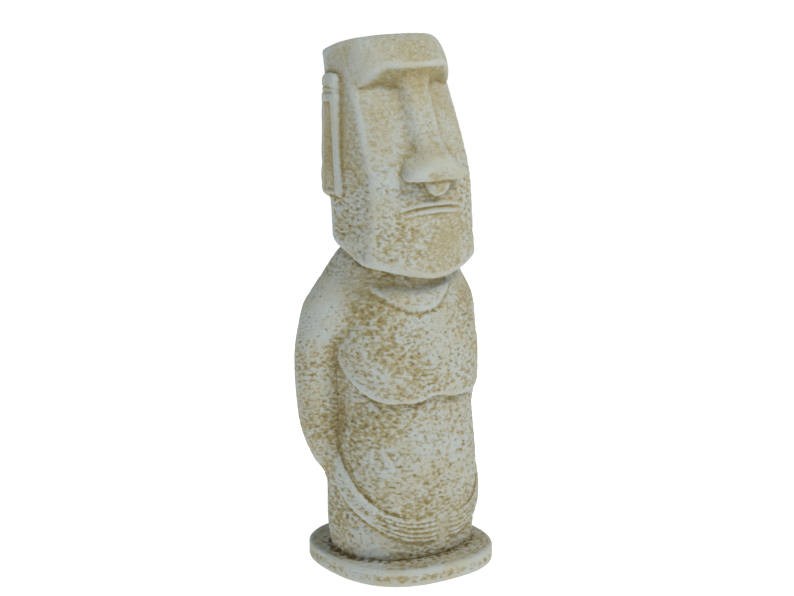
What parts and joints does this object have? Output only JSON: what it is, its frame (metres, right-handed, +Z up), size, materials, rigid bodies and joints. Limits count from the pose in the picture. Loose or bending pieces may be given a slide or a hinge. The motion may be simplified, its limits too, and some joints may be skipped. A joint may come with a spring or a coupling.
{
  "type": "moai statue",
  "caption": "Garden ornament of cast stone: a standing stylised stone figure with a long head and arms held to the body, on its own thin slab.",
  "frame": {"origin": "middle of the slab's flat underside, below the figure's axis", "axes": "+Z up the figure, -Y the way the face looks, +X the figure's left side"},
  "size_m": [0.2094, 0.173, 0.5212],
  "materials": {
    "cast_stone": "off-white cast stone with a tan antique wash left in the tooled hollows, matt"
  },
  "bodies": {
    "root": {"moai_statue": "cast_stone"}
  },
  "joints": []
}
